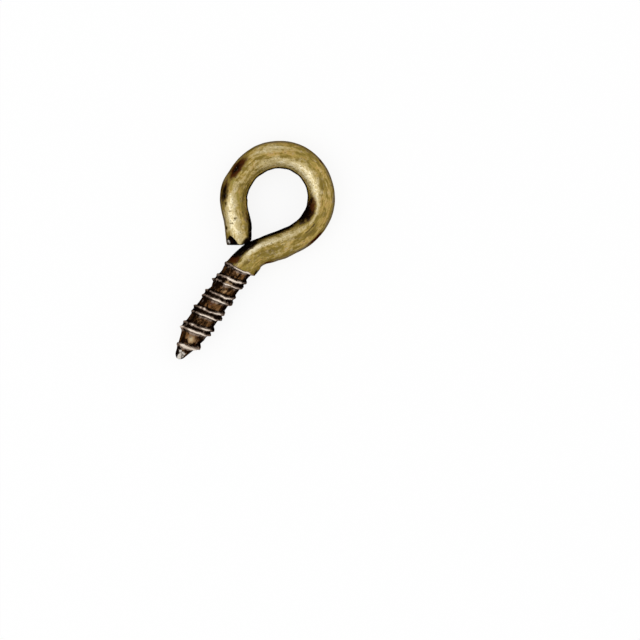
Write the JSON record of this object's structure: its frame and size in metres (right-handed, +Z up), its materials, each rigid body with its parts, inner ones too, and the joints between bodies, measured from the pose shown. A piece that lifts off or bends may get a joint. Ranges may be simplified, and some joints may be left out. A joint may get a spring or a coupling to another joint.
{
  "type": "screw eye",
  "caption": "Small closed-eye wood screw of bent wire: a round eye, an offset throat and a right-hand rolled thread ending in a cone point, in aged brass.",
  "frame": {"origin": "on the surface the screw eye lies on, under the middle of its length and of the eye's width", "axes": "+X from the eye along the shank to the point, +Y towards the leg that joins eye and shank, +Z up, square to the plane of the eye"},
  "size_m": [0.0178, 0.0082, 0.0023],
  "materials": {
    "antique_brass": "darkened and relieved, satin"
  },
  "bodies": {
    "root": {"screw_eye": "antique_brass"}
  },
  "joints": []
}
